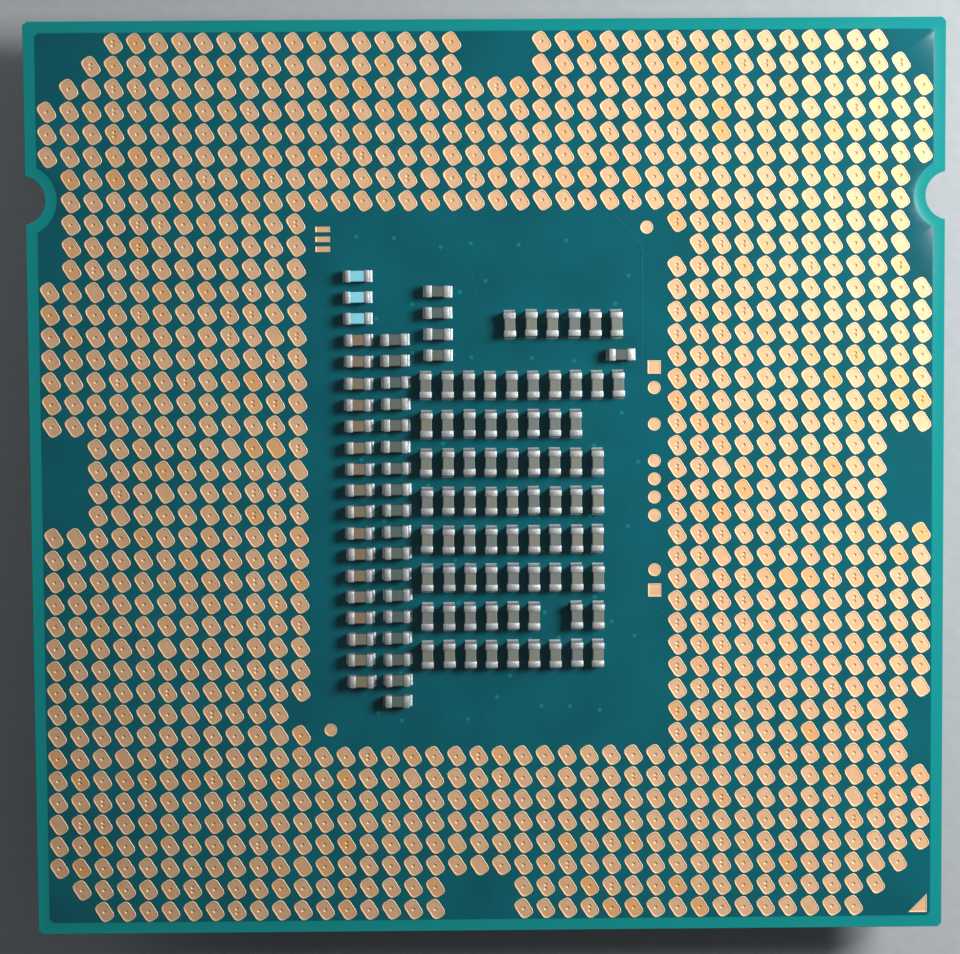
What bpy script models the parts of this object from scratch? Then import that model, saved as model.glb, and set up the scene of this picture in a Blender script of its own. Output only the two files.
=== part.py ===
"""A land-grid processor package, lying on its lid with its contact lands up.

Units are metres. The origin is the centre of the lid's contact face, +Z points out of the land side, and the two
half-round notches are towards +Y. Run it with: blender --background --python part.py
"""

import math

import bmesh
import bpy
from mathutils import Vector

MM = 0.001

# The package outline
PACKAGE_SIDE = 37.5 * MM
EDGE_MARGIN = 0.919 * MM  # from the outermost row of land centres to the package edge
GRID_COUNT = 40  # lands along a full row or column
NOTCH_RADIUS = 1.0 * MM
NOTCH_DEPTH = 0.8 * MM
NOTCH_RISE = 12.61  # land pitches above the centre
CORNER_CHAMFER = 0.15 * MM

# The land grid. The pitch is what 40 lands leave between the two margins
LAND_PITCH = (PACKAGE_SIDE - 2 * EDGE_MARGIN) / (GRID_COUNT - 1)
LAND_TILT = math.radians(33)
LAND_WIDTH = 0.56 * MM
LAND_GAP = 0.03 * MM  # from a land's corner to its cell's edge
PLANE_INSET = 0.02 * MM  # from the copper's edge to its cells' edge
WINDOW_INSET = 0.01 * MM  # from the mask's window to the cells' edge
LAND_PROUD = 0.015 * MM  # lands above the mask

# Layer thicknesses, from the lid's contact face up
LAYER_GAP = 0.004 * MM
PLATEAU_STEP = 2.0 * MM  # contact face to the ears' load face
LID_ROOF = 2.3 * MM
PASTE_THICKNESS = 0.06 * MM
DIE_THICKNESS = 0.72 * MM
BUMP_HEIGHT = 0.112 * MM
SEALANT_THICKNESS = 0.1 * MM
MASK_THICKNESS = 0.04 * MM
BUILDUP_THICKNESS = 0.15 * MM
CORE_THICKNESS = 0.8 * MM
COPPER_THICKNESS = 0.02 * MM

# The lid, measured in from the package edge and from its own outline
LID_MARGIN_X = 3.0 * MM
LID_MARGIN_Y = 2.25 * MM
LID_CORNER = 2.6 * MM
EAR_REACH = 1.25 * MM
EAR_HALF_LENGTH = 11.5 * MM
EAR_CORNER = 0.6 * MM
PLATEAU_MARGIN = 1.1 * MM
PLATEAU_CORNER = 1.6 * MM
LID_FOOT = 3.1 * MM
CAVITY_CORNER = 1.2 * MM
SEALANT_MARGIN = 0.5 * MM
VENT_WIDTH = 2.4 * MM

# The die under the lid
DIE_X = 8.14 * MM
DIE_Y = 14.5 * MM
PASTE_MARGIN = 0.4 * MM
UNDERFILL_FOOT = 1.0 * MM
UNDERFILL_CLEARANCE = 0.02 * MM
UNDERFILL_RISE = 0.45 * MM
BUMP_MARGIN = 0.3 * MM

# The land side's capacitors. Places are counted in land pitches from the package centre
CAPACITOR_LENGTH = 1.14 * MM
CAPACITOR_WIDTH = 0.5 * MM
CAPACITOR_HEIGHT = 0.5 * MM
PAD_STRIP_THICKNESS = 0.03 * MM
PAD_STRIP_MARGIN = 0.06 * MM
CAPACITOR_STEP = 0.957
ROW_STEP = 1.731

# Bare gold marks and pads on the land side, in land pitches from the centre
PAD_SIDE = 0.54 * MM
PAD_CLEARANCE = 0.03 * MM
PAD_COLUMN = 7.48
FIDUCIAL_PLACE = (7.16, 11.26)
PIN_MARK_LEG = 0.77 * MM
PIN_MARK_INSET = 0.62 * MM  # from the package edge
BAR_SIZE = (0.6 * MM, 0.22 * MM)
BAR_COLUMN = -7.30
BAR_ROWS = (11.25, 10.81, 10.37)

ARC_STEPS = 6
ROUND_SIDES = 14

# Heights of each layer's lower face. The die and its bumps carry the board, and the lid's rim reaches up to meet it
PASTE_Z = LID_ROOF + LAYER_GAP
DIE_Z = PASTE_Z + PASTE_THICKNESS + LAYER_GAP
BUMPS_Z = DIE_Z + DIE_THICKNESS + LAYER_GAP
SUBSTRATE_Z = BUMPS_Z + BUMP_HEIGHT + LAYER_GAP
SEALANT_Z = SUBSTRATE_Z - LAYER_GAP - SEALANT_THICKNESS
LID_HEIGHT = SEALANT_Z - LAYER_GAP
DIE_BUILDUP_Z = SUBSTRATE_Z + MASK_THICKNESS + LAYER_GAP
CORE_Z = DIE_BUILDUP_Z + BUILDUP_THICKNESS + LAYER_GAP
LAND_BUILDUP_Z = CORE_Z + CORE_THICKNESS + LAYER_GAP
COPPER_Z = LAND_BUILDUP_Z + BUILDUP_THICKNESS + LAYER_GAP
MASK_TOP = COPPER_Z + MASK_THICKNESS
LAND_TOP = MASK_TOP + LAND_PROUD
CAPACITOR_Z = MASK_TOP + LAYER_GAP

for old in list(bpy.data.objects):
    bpy.data.objects.remove(old, do_unlink=True)
scene = bpy.context.scene
parts = bpy.data.collections.new("cpu_processor")
cutters = bpy.data.collections.new("cutters")
scene.collection.children.link(parts)
scene.collection.children.link(cutters)


def material(name, colour, roughness, metallic=0.0):
    """A Principled material in linear RGB."""
    made = bpy.data.materials.new(name)
    made.use_nodes = True
    shader = made.node_tree.nodes["Principled BSDF"]
    shader.inputs["Base Color"].default_value = (*colour, 1)
    shader.inputs["Roughness"].default_value = roughness
    shader.inputs["Metallic"].default_value = metallic
    return made


NICKEL = material("nickel_plate", (0.60, 0.59, 0.57), 0.32, 1.0)
SILICON = material("silicon", (0.10, 0.11, 0.13), 0.15, 0.4)
PASTE = material("thermal_paste", (0.45, 0.45, 0.44), 0.7)
EPOXY = material("underfill_epoxy", (0.05, 0.035, 0.02), 0.35)
SOLDER = material("solder", (0.55, 0.55, 0.56), 0.4, 1.0)
SEALANT = material("black_silicone", (0.02, 0.02, 0.02), 0.6)
MASK = material("solder_mask", (0.012, 0.16, 0.18), 0.35)
LAMINATE = material("glass_epoxy_laminate", (0.22, 0.30, 0.14), 0.6)
BUILDUP = material("buildup_film", (0.09, 0.22, 0.12), 0.5)
GOLD = material("gold_plate", (0.72, 0.47, 0.22), 0.33, 1.0)
GREY_CERAMIC = material("grey_ceramic", (0.16, 0.17, 0.14), 0.5)
TAN_CERAMIC = material("tan_ceramic", (0.25, 0.20, 0.14), 0.5)
BLUE_CERAMIC = material("blue_ceramic", (0.14, 0.45, 0.60), 0.5)


def link(name, mesh, paint=None, cutter=False):
    """An object for this mesh, among the parts or, with no place in the build, among the cutters."""
    made = bpy.data.objects.new(name, mesh)
    (cutters if cutter else parts).objects.link(made)
    if cutter:
        made.hide_render = True
        made.display_type = "WIRE"
    else:
        made.data.materials.append(paint)
    return made


def from_bmesh(name, shape, paint=None, cutter=False):
    """An object for this bmesh, with its normals facing out."""
    bmesh.ops.recalc_face_normals(shape, faces=shape.faces)
    mesh = bpy.data.meshes.new(name)
    shape.to_mesh(mesh)
    shape.free()
    return link(name, mesh, paint, cutter)


def flat_plate(name, outline, bottom, top, paint=None, cutter=False):
    """A closed outline in XY, filled and extruded from one height to another."""
    curve = bpy.data.curves.new(name, "CURVE")
    curve.dimensions = "2D"
    curve.fill_mode = "BOTH"
    curve.extrude = (top - bottom) / 2
    spline = curve.splines.new("POLY")
    spline.points.add(len(outline) - 1)
    for point, (x, y) in zip(spline.points, outline):
        point.co = (x, y, 0, 1)
    spline.use_cyclic_u = True
    guide = bpy.data.objects.new(name + "_outline", curve)
    guide.location.z = (top + bottom) / 2
    cutters.objects.link(guide)
    bpy.context.view_layer.update()
    mesh = bpy.data.meshes.new_from_object(guide.evaluated_get(bpy.context.evaluated_depsgraph_get()))
    mesh.transform(guide.matrix_world)
    bpy.data.objects.remove(guide)
    shape = bmesh.new()
    shape.from_mesh(mesh)
    bpy.data.meshes.remove(mesh)
    bmesh.ops.remove_doubles(shape, verts=shape.verts, dist=1e-7)
    return from_bmesh(name, shape, paint, cutter)


def arc(centre, radius, start, turn, steps=ARC_STEPS):
    """Points along an arc, its ends included; angles in radians."""
    angles = [start + turn * step / steps for step in range(steps + 1)]
    return [(centre[0] + radius * math.cos(a), centre[1] + radius * math.sin(a)) for a in angles]


def rounded_rectangle(half_x, half_y, radius):
    """An outline round the origin, counter-clockwise from its +X side."""
    corners = ((1, 1), (-1, 1), (-1, -1), (1, -1))
    points = []
    for quarter, (sx, sy) in enumerate(corners):
        centre = (sx * (half_x - radius), sy * (half_y - radius))
        points += arc(centre, radius, quarter * math.pi / 2, math.pi / 2)
    return points


def mirrored(points):
    """The points of a right half, followed by the same ones on the left in reverse."""
    return points + [(-x, y) for x, y in reversed(points)]


def package_outline(inset):
    """The package's edge, moved in by the inset: chamfered corners and a half-round notch in each side."""
    half = PACKAGE_SIDE / 2 - inset
    notch = (PACKAGE_SIDE / 2 + NOTCH_RADIUS - NOTCH_DEPTH, NOTCH_RISE * LAND_PITCH)
    radius = NOTCH_RADIUS + inset
    reach = math.acos((notch[0] - half) / radius)
    right = [(half - CORNER_CHAMFER, -half), (half, -half + CORNER_CHAMFER)]
    right += arc(notch, radius, math.pi + reach, -2 * reach, 2 * ARC_STEPS)
    right += [(half, half - CORNER_CHAMFER), (half - CORNER_CHAMFER, half)]
    return mirrored(right)


def lid_outline():
    """The lid's base: a rounded rectangle with an ear on its left and right sides."""
    half_x = PACKAGE_SIDE / 2 - LID_MARGIN_X
    half_y = PACKAGE_SIDE / 2 - LID_MARGIN_Y
    ear_x = half_x + EAR_REACH
    quarter = math.pi / 2
    low = EAR_CORNER - EAR_HALF_LENGTH
    right = arc((half_x - LID_CORNER, LID_CORNER - half_y), LID_CORNER, -quarter, quarter)
    right.append((half_x, -EAR_HALF_LENGTH - EAR_CORNER))
    right += arc((ear_x - EAR_CORNER, low), EAR_CORNER, -quarter, quarter)
    right += arc((ear_x - EAR_CORNER, -low), EAR_CORNER, 0, quarter)
    right.append((half_x, EAR_HALF_LENGTH + EAR_CORNER))
    right += arc((half_x - LID_CORNER, half_y - LID_CORNER), LID_CORNER, 0, quarter)
    return mirrored(right)


def add_box(shape, centre, size, bottom, top):
    """Adds a box to the bmesh, centred on an XY place."""
    middle = Vector((centre[0], centre[1], (bottom + top) / 2))
    made = bmesh.ops.create_cube(shape, size=1)["verts"]
    bmesh.ops.scale(shape, vec=(size[0], size[1], top - bottom), verts=made)
    bmesh.ops.translate(shape, vec=middle, verts=made)


def box(name, centre, size, bottom, top, paint=None, cutter=False):
    """A box as an object of its own."""
    shape = bmesh.new()
    add_box(shape, centre, size, bottom, top)
    return from_bmesh(name, shape, paint, cutter)


def disc(name, centre, diameter, bottom, top, paint=None, cutter=False):
    """A round pad."""
    shape = bmesh.new()
    made = bmesh.ops.create_cone(
        shape,
        cap_ends=True,
        segments=ROUND_SIDES,
        radius1=diameter / 2,
        radius2=diameter / 2,
        depth=top - bottom,
    )["verts"]
    bmesh.ops.translate(shape, vec=(centre[0], centre[1], (bottom + top) / 2), verts=made)
    pad = from_bmesh(name, shape, paint, cutter)
    pad.data.shade_smooth()
    pad.data.set_sharp_from_angle(angle=math.radians(40))
    return pad


def boolean(target, other, operation):
    """A Boolean that stays on the target; the other object becomes a cutter."""
    step = target.modifiers.new(operation.lower(), "BOOLEAN")
    step.operation = operation
    step.object = other


# ---- the lid, its sealant and what lies under it


def make_lid():
    """The plated copper lid: plateau, base with ears, and the cavity over the die."""
    half_x = PACKAGE_SIDE / 2 - LID_MARGIN_X
    half_y = PACKAGE_SIDE / 2 - LID_MARGIN_Y
    lid = flat_plate("heat_spreader", lid_outline(), PLATEAU_STEP, LID_HEIGHT, NICKEL)
    plateau = rounded_rectangle(half_x - PLATEAU_MARGIN, half_y - PLATEAU_MARGIN, PLATEAU_CORNER)
    middle = (PLATEAU_STEP + LID_ROOF) / 2
    boolean(lid, flat_plate("lid_plateau", plateau, 0, middle, cutter=True), "UNION")
    cavity = rounded_rectangle(half_x - LID_FOOT, half_y - LID_FOOT, CAVITY_CORNER)
    above = LID_HEIGHT + SEALANT_THICKNESS
    boolean(lid, flat_plate("lid_cavity", cavity, LID_ROOF, above, cutter=True), "DIFFERENCE")


def make_sealant():
    """The flat bead that bonds the lid's foot to the package, open at one side as a vent."""
    outer_x = PACKAGE_SIDE / 2 - LID_MARGIN_X - SEALANT_MARGIN
    outer_y = PACKAGE_SIDE / 2 - LID_MARGIN_Y - SEALANT_MARGIN
    width = LID_FOOT - 2 * SEALANT_MARGIN
    top = SEALANT_Z + SEALANT_THICKNESS
    outer = rounded_rectangle(outer_x, outer_y, LID_CORNER - SEALANT_MARGIN)
    inner = rounded_rectangle(outer_x - width, outer_y - width, CAVITY_CORNER)
    bead = flat_plate("lid_sealant", outer, SEALANT_Z, top, SEALANT)
    low, high = SEALANT_Z - SEALANT_THICKNESS, top + SEALANT_THICKNESS
    boolean(bead, flat_plate("sealant_inside", inner, low, high, cutter=True), "DIFFERENCE")
    vent = box("sealant_vent", (0, -outer_y + width / 2), (VENT_WIDTH, 2 * width), low, high, cutter=True)
    boolean(bead, vent, "DIFFERENCE")


def make_underfill():
    """The epoxy round the die: wide at the package and narrowing up the die's sides."""
    top = SUBSTRATE_Z - LAYER_GAP
    bottom = top - UNDERFILL_RISE
    shape = bmesh.new()
    add_box(shape, (0, 0), (DIE_X, DIE_Y), bottom, top)
    for vertex in shape.verts:
        spread = UNDERFILL_FOOT if vertex.co.z > (bottom + top) / 2 else UNDERFILL_FOOT / 4
        vertex.co.x += math.copysign(spread, vertex.co.x)
        vertex.co.y += math.copysign(spread, vertex.co.y)
    fillet = from_bmesh("die_underfill", shape, EPOXY)
    hole = (DIE_X + 2 * UNDERFILL_CLEARANCE, DIE_Y + 2 * UNDERFILL_CLEARANCE)
    through = box("die_footprint", (0, 0), hole, bottom - UNDERFILL_RISE, top + UNDERFILL_RISE, cutter=True)
    boolean(fillet, through, "DIFFERENCE")


def make_die_stack():
    """Paste, die and the layer of solder bumps that carries the die."""
    paste = (DIE_X - PASTE_MARGIN, DIE_Y - PASTE_MARGIN)
    bumps = (DIE_X - BUMP_MARGIN, DIE_Y - BUMP_MARGIN)
    box("thermal_paste", (0, 0), paste, PASTE_Z, PASTE_Z + PASTE_THICKNESS, PASTE)
    box("silicon_die", (0, 0), (DIE_X, DIE_Y), DIE_Z, DIE_Z + DIE_THICKNESS, SILICON)
    box("solder_bumps", (0, 0), bumps, BUMPS_Z, BUMPS_Z + BUMP_HEIGHT, SOLDER)


# ---- the laminated package


def make_laminates():
    """The mask of the die side and the three laminates, all with the package's outline."""
    layers = (
        ("die_side_mask", SUBSTRATE_Z, MASK_THICKNESS, MASK),
        ("die_side_buildup", DIE_BUILDUP_Z, BUILDUP_THICKNESS, BUILDUP),
        ("core_laminate", CORE_Z, CORE_THICKNESS, LAMINATE),
        ("land_side_buildup", LAND_BUILDUP_Z, BUILDUP_THICKNESS, BUILDUP),
    )
    for name, bottom, thickness, paint in layers:
        flat_plate(name, package_outline(0), bottom, bottom + thickness, paint)
    mark = pin_one_outline(-1)
    flat_plate("pin_one_mark_lid_side", mark, SUBSTRATE_Z - LAYER_GAP - COPPER_THICKNESS, SUBSTRATE_Z - LAYER_GAP, GOLD)


def has_land(column, row):
    """Whether the grid holds a land here. Columns count from the left and rows from the top, both from 1."""
    right, low = GRID_COUNT + 1 - column, GRID_COUNT + 1 - row
    centre = 13 <= column <= 28 and 9 <= row <= 32
    beside_fiducial = (column, row) in ((29, 10), (12, 31))
    top_gap = row <= 2 and 20 <= column <= 22
    bottom_gap = low <= 2 and 19 <= column <= 21
    side_gap = 19 <= row <= 22 and min(column, right) <= 2
    long_corner = column + row <= 4 or right + low <= 4
    short_corner = right + row <= 3 or column + low <= 3
    notch = 7 <= row <= 11 and min(column, right) == 1
    right_gap = 31 <= row <= 33 and right == 1
    gaps = (centre, beside_fiducial, top_gap, bottom_gap, side_gap, long_corner, short_corner, notch, right_gap)
    return not any(gaps)


def cell_centre(column, row):
    """The XY place of a land."""
    middle = (GRID_COUNT + 1) / 2
    return (column - middle) * LAND_PITCH, (middle - row) * LAND_PITCH


def cell_of(place):
    """The column and row of the cell that holds this place."""
    middle = (GRID_COUNT + 1) / 2
    return round(place.x / LAND_PITCH + middle), round(middle - place.y / LAND_PITCH)


def quarter_cells(right, upper, inset, bottom, top):
    """A bmesh slab over the cells of one quarter of the grid that hold a land, its edge moved in by the inset."""
    shape = bmesh.new()
    bmesh.ops.create_grid(
        shape, x_segments=GRID_COUNT, y_segments=GRID_COUNT, size=GRID_COUNT * LAND_PITCH / 2
    )
    outside = []
    for face in shape.faces:
        centre = face.calc_center_median()
        if (centre.x > 0) != right or (centre.y > 0) != upper or not has_land(*cell_of(centre)):
            outside.append(face)
    bmesh.ops.delete(shape, geom=outside, context="FACES")
    rim = bmesh.ops.inset_region(shape, faces=shape.faces, thickness=inset, use_boundary=True, use_even_offset=True)
    bmesh.ops.delete(shape, geom=rim["faces"], context="FACES")
    bmesh.ops.translate(shape, vec=(0, 0, bottom), verts=shape.verts)
    raised = bmesh.ops.extrude_face_region(shape, geom=shape.faces, use_keep_orig=True)["geom"]
    lifted = [item for item in raised if isinstance(item, bmesh.types.BMVert)]
    bmesh.ops.translate(shape, vec=(0, 0, top - bottom), verts=lifted)
    return shape


def land_corners(centre):
    """A land's four corners round its centre. Its long side fills the cell as far as the gap allows."""
    fill = LAND_PITCH - 2 * LAND_GAP - LAND_WIDTH * math.sin(LAND_TILT)
    half_x, half_y = LAND_WIDTH / 2, fill / math.cos(LAND_TILT) / 2
    across = Vector((math.cos(LAND_TILT), math.sin(LAND_TILT)))
    along = Vector((-math.sin(LAND_TILT), math.cos(LAND_TILT)))
    signs = ((-1, -1), (1, -1), (1, 1), (-1, 1))
    return [Vector(centre) + across * half_x * sx + along * half_y * sy for sx, sy in signs]


def make_lands(name, right, upper):
    """One quarter of the outer copper: its lands stand up through the mask, their flanks sloping to a shared plane."""
    shape = quarter_cells(right, upper, PLANE_INSET, COPPER_Z, COPPER_Z + COPPER_THICKNESS)
    shape.normal_update()
    level = COPPER_Z + COPPER_THICKNESS / 2
    tops = [f for f in shape.faces if f.calc_center_median().z > level and abs(f.normal.z) > 0.5]
    bmesh.ops.inset_individual(shape, faces=tops, thickness=PLANE_INSET, use_even_offset=True)
    for face in tops:
        centre = Vector(cell_centre(*cell_of(face.calc_center_median())))
        corners = land_corners(centre)
        for vertex in face.verts:
            sx, sy = vertex.co.x > centre.x, vertex.co.y > centre.y
            corner = corners[{(False, False): 0, (True, False): 1, (True, True): 2, (False, True): 3}[(sx, sy)]]
            vertex.co = (*corner, LAND_TOP)
    from_bmesh(name, shape, GOLD)


QUARTERS = {
    "contact_lands_upper_left": (False, True),
    "contact_lands_upper_right": (True, True),
    "contact_lands_lower_left": (False, False),
    "contact_lands_lower_right": (True, False),
}


def pin_one_outline(side):
    """A right triangle in the lower corner of the +X or -X side, its right angle outwards."""
    corner = PACKAGE_SIDE / 2 - PIN_MARK_INSET
    points = [(corner, -corner), (corner, -corner + PIN_MARK_LEG), (corner - PIN_MARK_LEG, -corner)]
    return [(side * x, y) for x, y in points]


def grid_place(column_offset, row_offset):
    """A place counted in land pitches from the centre."""
    return column_offset * LAND_PITCH, row_offset * LAND_PITCH


def pads():
    """(name, maker, place, size) of each bare pad and bar on the land side."""
    x, y = FIDUCIAL_PLACE
    found = [
        ("fiducial_upper", disc, grid_place(x, y), PAD_SIDE),
        ("fiducial_lower", disc, grid_place(-x, -y), PAD_SIDE),
    ]
    for number, row in enumerate((4.10, 2.46, 0.82, 0, -0.82, -1.64, -4.10), 1):
        found.append((f"test_pad_round_{number}", disc, grid_place(PAD_COLUMN, row), PAD_SIDE))
    for number, row in enumerate((5.02, -5.02), 1):
        found.append((f"test_pad_square_{number}", box, grid_place(PAD_COLUMN, row), (PAD_SIDE, PAD_SIDE)))
    for number, row in enumerate(BAR_ROWS, 1):
        found.append((f"index_bar_{number}", box, grid_place(BAR_COLUMN, row), BAR_SIZE))
    return found


def widened(size):
    """A pad's size with the mask's clearance on every side."""
    if isinstance(size, tuple):
        return tuple(side + 2 * PAD_CLEARANCE for side in size)
    return size + 2 * PAD_CLEARANCE


def make_land_side():
    """The mask with its windows, and what stands in them."""
    mask = flat_plate("land_side_mask", package_outline(0), COPPER_Z, MASK_TOP, MASK)
    low, high = COPPER_Z - MASK_THICKNESS, MASK_TOP + MASK_THICKNESS
    for name, (right, upper) in QUARTERS.items():
        make_lands(name, right, upper)
        window = quarter_cells(right, upper, WINDOW_INSET, low, high)
        boolean(mask, from_bmesh(name + "_window", window, cutter=True), "DIFFERENCE")
    for name, maker, place, size in pads():
        maker(name, place, size, COPPER_Z, LAND_TOP, GOLD)
        boolean(mask, maker(name + "_window", place, widened(size), low, high, cutter=True), "DIFFERENCE")
    flat_plate("pin_one_mark_land_side", pin_one_outline(1), CAPACITOR_Z, CAPACITOR_Z + COPPER_THICKNESS, GOLD)


# ---- the capacitors


def make_capacitors(name, places, turned, paint):
    """A line of capacitors on the shared strip of solder pads that joins them; turned ones lie along X."""
    size = (CAPACITOR_LENGTH, CAPACITOR_WIDTH) if turned else (CAPACITOR_WIDTH, CAPACITOR_LENGTH)
    first, last = Vector(places[0]), Vector(places[-1])
    middle = (first + last) / 2
    strip = [abs(last[axis] - first[axis]) + size[axis] + 2 * PAD_STRIP_MARGIN for axis in (0, 1)]
    strip_top = CAPACITOR_Z + PAD_STRIP_THICKNESS
    line = box(name, middle, strip, CAPACITOR_Z, strip_top, paint)
    bodies = bmesh.new()
    for place in places:
        add_box(bodies, place, size, (CAPACITOR_Z + strip_top) / 2, CAPACITOR_Z + CAPACITOR_HEIGHT)
    boolean(line, from_bmesh(name + "_bodies", bodies, cutter=True), "UNION")


def column_places(column, top, count):
    """Places one below another, from the topmost down."""
    return [grid_place(column, top - step * CAPACITOR_STEP) for step in range(count)]


def row_places(left, row, count):
    """Places side by side, from the leftmost on."""
    return [grid_place(left + step * CAPACITOR_STEP, row) for step in range(count)]


def make_capacitor_banks():
    """The three columns at the left, the rows, and the odd ones out."""
    first_column = column_places(-5.76, 9.17, 20)
    make_capacitors("capacitors_column_1_blue", first_column[:3], True, BLUE_CERAMIC)
    make_capacitors("capacitors_column_1", first_column[3:], True, TAN_CERAMIC)
    make_capacitors("capacitors_column_2", column_places(-4.11, 6.33, 18), True, GREY_CERAMIC)
    make_capacitors("capacitors_column_3", column_places(-2.19, 8.47, 4), True, GREY_CERAMIC)
    make_capacitors("capacitors_row_1", row_places(1.01, 6.97, 6), False, GREY_CERAMIC)
    make_capacitors("capacitor_single", [grid_place(5.97, 5.58)], True, GREY_CERAMIC)
    top_row, left = 4.245, -2.745
    for number, count in enumerate((10, 8, 9, 9, 9, 9), 2):
        row = top_row - (number - 2) * ROW_STEP
        make_capacitors(f"capacitors_row_{number}", row_places(left, row, count), False, GREY_CERAMIC)
    split_row = row_places(left, top_row - 6 * ROW_STEP, 9)
    make_capacitors("capacitors_row_8_left", split_row[:6], False, GREY_CERAMIC)
    make_capacitors("capacitors_row_8_right", split_row[7:], False, GREY_CERAMIC)
    make_capacitors("capacitors_row_9", row_places(left, top_row - 7 * ROW_STEP, 9), False, GREY_CERAMIC)


make_lid()
make_sealant()
make_underfill()
make_die_stack()
make_laminates()
make_land_side()
make_capacitor_banks()
bpy.context.view_layer.update()
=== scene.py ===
"""The looks of a land-grid processor package that lies on its lid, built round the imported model.

Units are metres, +Z points out of the land side, and the sections follow the package as it is put together:
lid, bond and die, laminates, mask, lands, marks and capacitors, and at the end the table it is shown on.
"""

import math
import random

import bmesh
import bpy
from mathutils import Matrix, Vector


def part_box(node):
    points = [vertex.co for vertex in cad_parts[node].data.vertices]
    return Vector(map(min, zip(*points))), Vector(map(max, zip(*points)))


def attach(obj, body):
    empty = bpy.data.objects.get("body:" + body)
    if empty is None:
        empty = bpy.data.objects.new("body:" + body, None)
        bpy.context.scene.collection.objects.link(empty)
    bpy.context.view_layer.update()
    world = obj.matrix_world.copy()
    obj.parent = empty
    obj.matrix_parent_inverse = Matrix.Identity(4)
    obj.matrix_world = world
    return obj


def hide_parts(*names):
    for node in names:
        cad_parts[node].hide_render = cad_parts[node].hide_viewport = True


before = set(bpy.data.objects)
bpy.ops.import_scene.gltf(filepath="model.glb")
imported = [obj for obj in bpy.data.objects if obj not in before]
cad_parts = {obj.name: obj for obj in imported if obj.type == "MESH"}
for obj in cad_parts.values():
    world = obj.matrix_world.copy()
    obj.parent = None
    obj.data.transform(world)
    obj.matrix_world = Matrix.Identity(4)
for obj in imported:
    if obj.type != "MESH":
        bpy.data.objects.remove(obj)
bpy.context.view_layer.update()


# ---- Heat spreader
# A stamped copper lid, plated with matt nickel. Its plateau is the face that the cooler presses on, its two
# ears are what the socket's frame holds down, and its hollow side goes over the die. The press leaves every
# edge rounded.

MM = 0.001
LID_STEP = 2.0 * MM  # plateau face to the ears' upper face
LID_ROOF = 2.3 * MM  # plateau face to the roof of the hollow
LID_CORNER = 2.6 * MM
EAR_REACH = 1.25 * MM
EAR_HALF_LENGTH = 11.5 * MM
EAR_CORNER = 0.6 * MM
PLATEAU_MARGIN = 1.1 * MM
PLATEAU_CORNER = 1.6 * MM
LID_FOOT = 3.1 * MM
HOLLOW_CORNER = 1.2 * MM
LID_ROUNDING = 0.14 * MM
SMOOTH_BELOW = math.radians(35)
QUARTER_TURN = math.pi / 2


def linear(hex_colour):
    """A linear RGBA colour from an sRGB hex value."""
    channels = [int(hex_colour[i : i + 2], 16) / 255 for i in (1, 3, 5)]
    return (*[c / 12.92 if c <= 0.04045 else ((c + 0.055) / 1.055) ** 2.4 for c in channels], 1)


def add_node(tree, kind, sockets=None, **settings):
    """Adds a node. Sockets maps an input's name or number to a value or to the output that feeds it."""
    made = tree.nodes.new(kind)
    for name, value in settings.items():
        setattr(made, name, value)
    for name, value in (sockets or {}).items():
        if isinstance(value, bpy.types.NodeSocket):
            tree.links.new(value, made.inputs[name])
        else:
            made.inputs[name].default_value = value
    return made


def start_material(name, roughness, metallic=0.0, ior=None):
    """A material with its tree, its Principled shader and the object's own coordinates."""
    made = bpy.data.materials.new(name)
    made.use_nodes = True
    tree = made.node_tree
    shader = tree.nodes["Principled BSDF"]
    shader.inputs["Roughness"].default_value = roughness
    shader.inputs["Metallic"].default_value = metallic
    if ior:
        shader.inputs["IOR"].default_value = ior
    return made, tree, shader, add_node(tree, "ShaderNodeTexCoord").outputs["Object"]


def grain(tree, place, size, detail=2, stretch=(1, 1, 1)):
    """Noise whose grains are of this size in metres, stretched along an axis by a smaller number."""
    turned = add_node(tree, "ShaderNodeMapping", {"Vector": place, "Scale": stretch}).outputs["Vector"]
    noise = add_node(tree, "ShaderNodeTexNoise", {"Vector": turned, "Scale": 1 / size, "Detail": detail})
    return noise.outputs["Fac"]


def spread(tree, value, low, high):
    """The value's middle part, which is where noise lies, stretched to run from low to high."""
    sockets = {"Value": value, "From Min": 0.3, "From Max": 0.7, "To Min": low, "To Max": high}
    return add_node(tree, "ShaderNodeMapRange", sockets).outputs["Result"]


def blend_colours(tree, share, first, second):
    """A mix of two colours, each a hex value or an output."""
    colours = [linear(c) if isinstance(c, str) else c for c in (first, second)]
    mix = add_node(tree, "ShaderNodeMix", {0: share, 6: colours[0], 7: colours[1]}, data_type="RGBA")
    return mix.outputs[2]


def mottled(tree, noise, first, second):
    """Two colours mixed by the noise."""
    return blend_colours(tree, spread(tree, noise, 0, 1), first, second)


def paint(tree, shader, colour, roughness=None):
    """Links a colour to the shader, and a roughness where one is given."""
    tree.links.new(colour, shader.inputs["Base Color"])
    if roughness:
        tree.links.new(roughness, shader.inputs["Roughness"])


def roughen(tree, shader, height, depth, strength=1.0, over=None):
    """Bumps the surface by this height, over an earlier bump where one is given."""
    sockets = {"Height": height, "Distance": depth, "Strength": strength}
    if over:
        sockets["Normal"] = over
    bump = add_node(tree, "ShaderNodeBump", sockets).outputs["Normal"]
    tree.links.new(bump, shader.inputs["Normal"])
    return bump


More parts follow.
